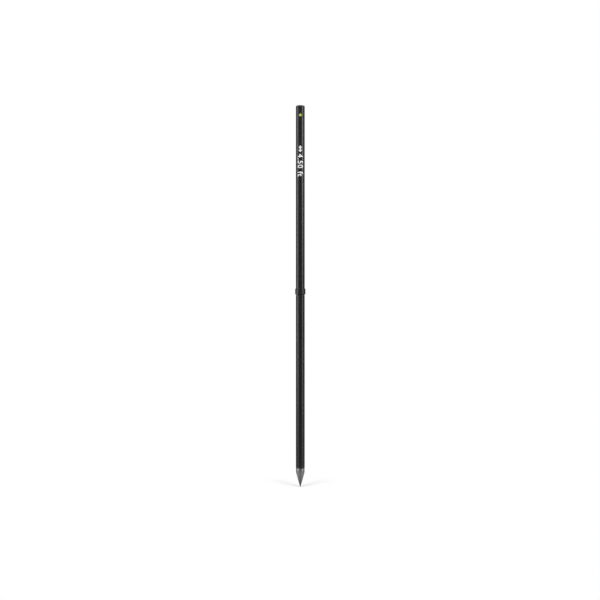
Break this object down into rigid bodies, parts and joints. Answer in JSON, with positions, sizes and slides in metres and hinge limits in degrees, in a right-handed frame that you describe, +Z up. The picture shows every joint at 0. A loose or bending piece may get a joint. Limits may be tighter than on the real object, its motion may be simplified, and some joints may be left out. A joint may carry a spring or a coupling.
{
  "type": "survey pole",
  "caption": "Slim black survey pole in screwed sections, with a steel ground point at the foot, a collar at mid-height and a push-button spigot socket at the top.",
  "frame": {"origin": "the tip of the ground point, which is the bottom centre of the pole", "axes": "+Z up the pole's axis towards the socket, -Y out of the front, where the release button is, +X to the right seen from the front"},
  "size_m": [0.0374, 0.0374, 1.372],
  "materials": {
    "carbon_tube": "satin",
    "black_anodised": "satin",
    "point_steel": "satin",
    "stud_steel": "satin",
    "latch_steel": "satin",
    "spring_steel": "polished",
    "button_plastic": "satin",
    "black_nylon": "matte"
  },
  "bodies": {
    "ground_point": {"ground_point": "point_steel"},
    "point_washer": {"point_washer": "black_nylon"},
    "lower_section": {"foot_insert": "black_anodised", "lower_tube": "carbon_tube", "lower_coupler": "black_anodised", "joint_stud": "stud_steel", "stud_pin": "stud_steel"},
    "joint_washer": {"joint_washer": "black_nylon"},
    "upper_section": {"upper_coupler": "black_anodised", "thread_bush": "stud_steel", "joint_collar": "black_anodised", "upper_tube": "carbon_tube", "head_housing": "black_anodised", "latch_spring_left": "spring_steel", "latch_spring_right": "spring_steel", "button_bush": "black_nylon"},
    "release_latch": {"latch_plate": "latch_steel", "button_screw": "stud_steel", "release_button": "button_plastic"}
  },
  "joints": [
    {"name": "point_turn", "type": "hinge", "parent": "ground_point", "child": "point_washer", "pos_m": [0, 0, 0.0686], "axis": [0, 0, 1], "range_deg": [0, 3600]},
    {"name": "point_lift", "type": "slide", "parent": "point_washer", "child": "lower_section", "axis": [0, 0, 1], "range_m": [0, 0.0175]},
    {"name": "section_turn", "type": "hinge", "parent": "lower_section", "child": "joint_washer", "pos_m": [0, 0, 0.692], "axis": [0, 0, 1], "range_deg": [0, 3600]},
    {"name": "section_lift", "type": "slide", "parent": "joint_washer", "child": "upper_section", "axis": [0, 0, 1], "range_m": [0, 0.02309]},
    {"name": "release_press", "type": "slide", "parent": "upper_section", "child": "release_latch", "axis": [0, 1, 0], "range_m": [0, 0.0024], "stiffness_N_per_m": 4800, "springref_m": -0.0004, "deforming": ["latch_spring_left", "latch_spring_right"]}
  ],
  "couplings": [
    {"joint": "point_turn", "follows": "point_lift", "rad_per_m": 3590.4},
    {"joint": "section_turn", "follows": "section_lift", "rad_per_m": 2721.1}
  ]
}
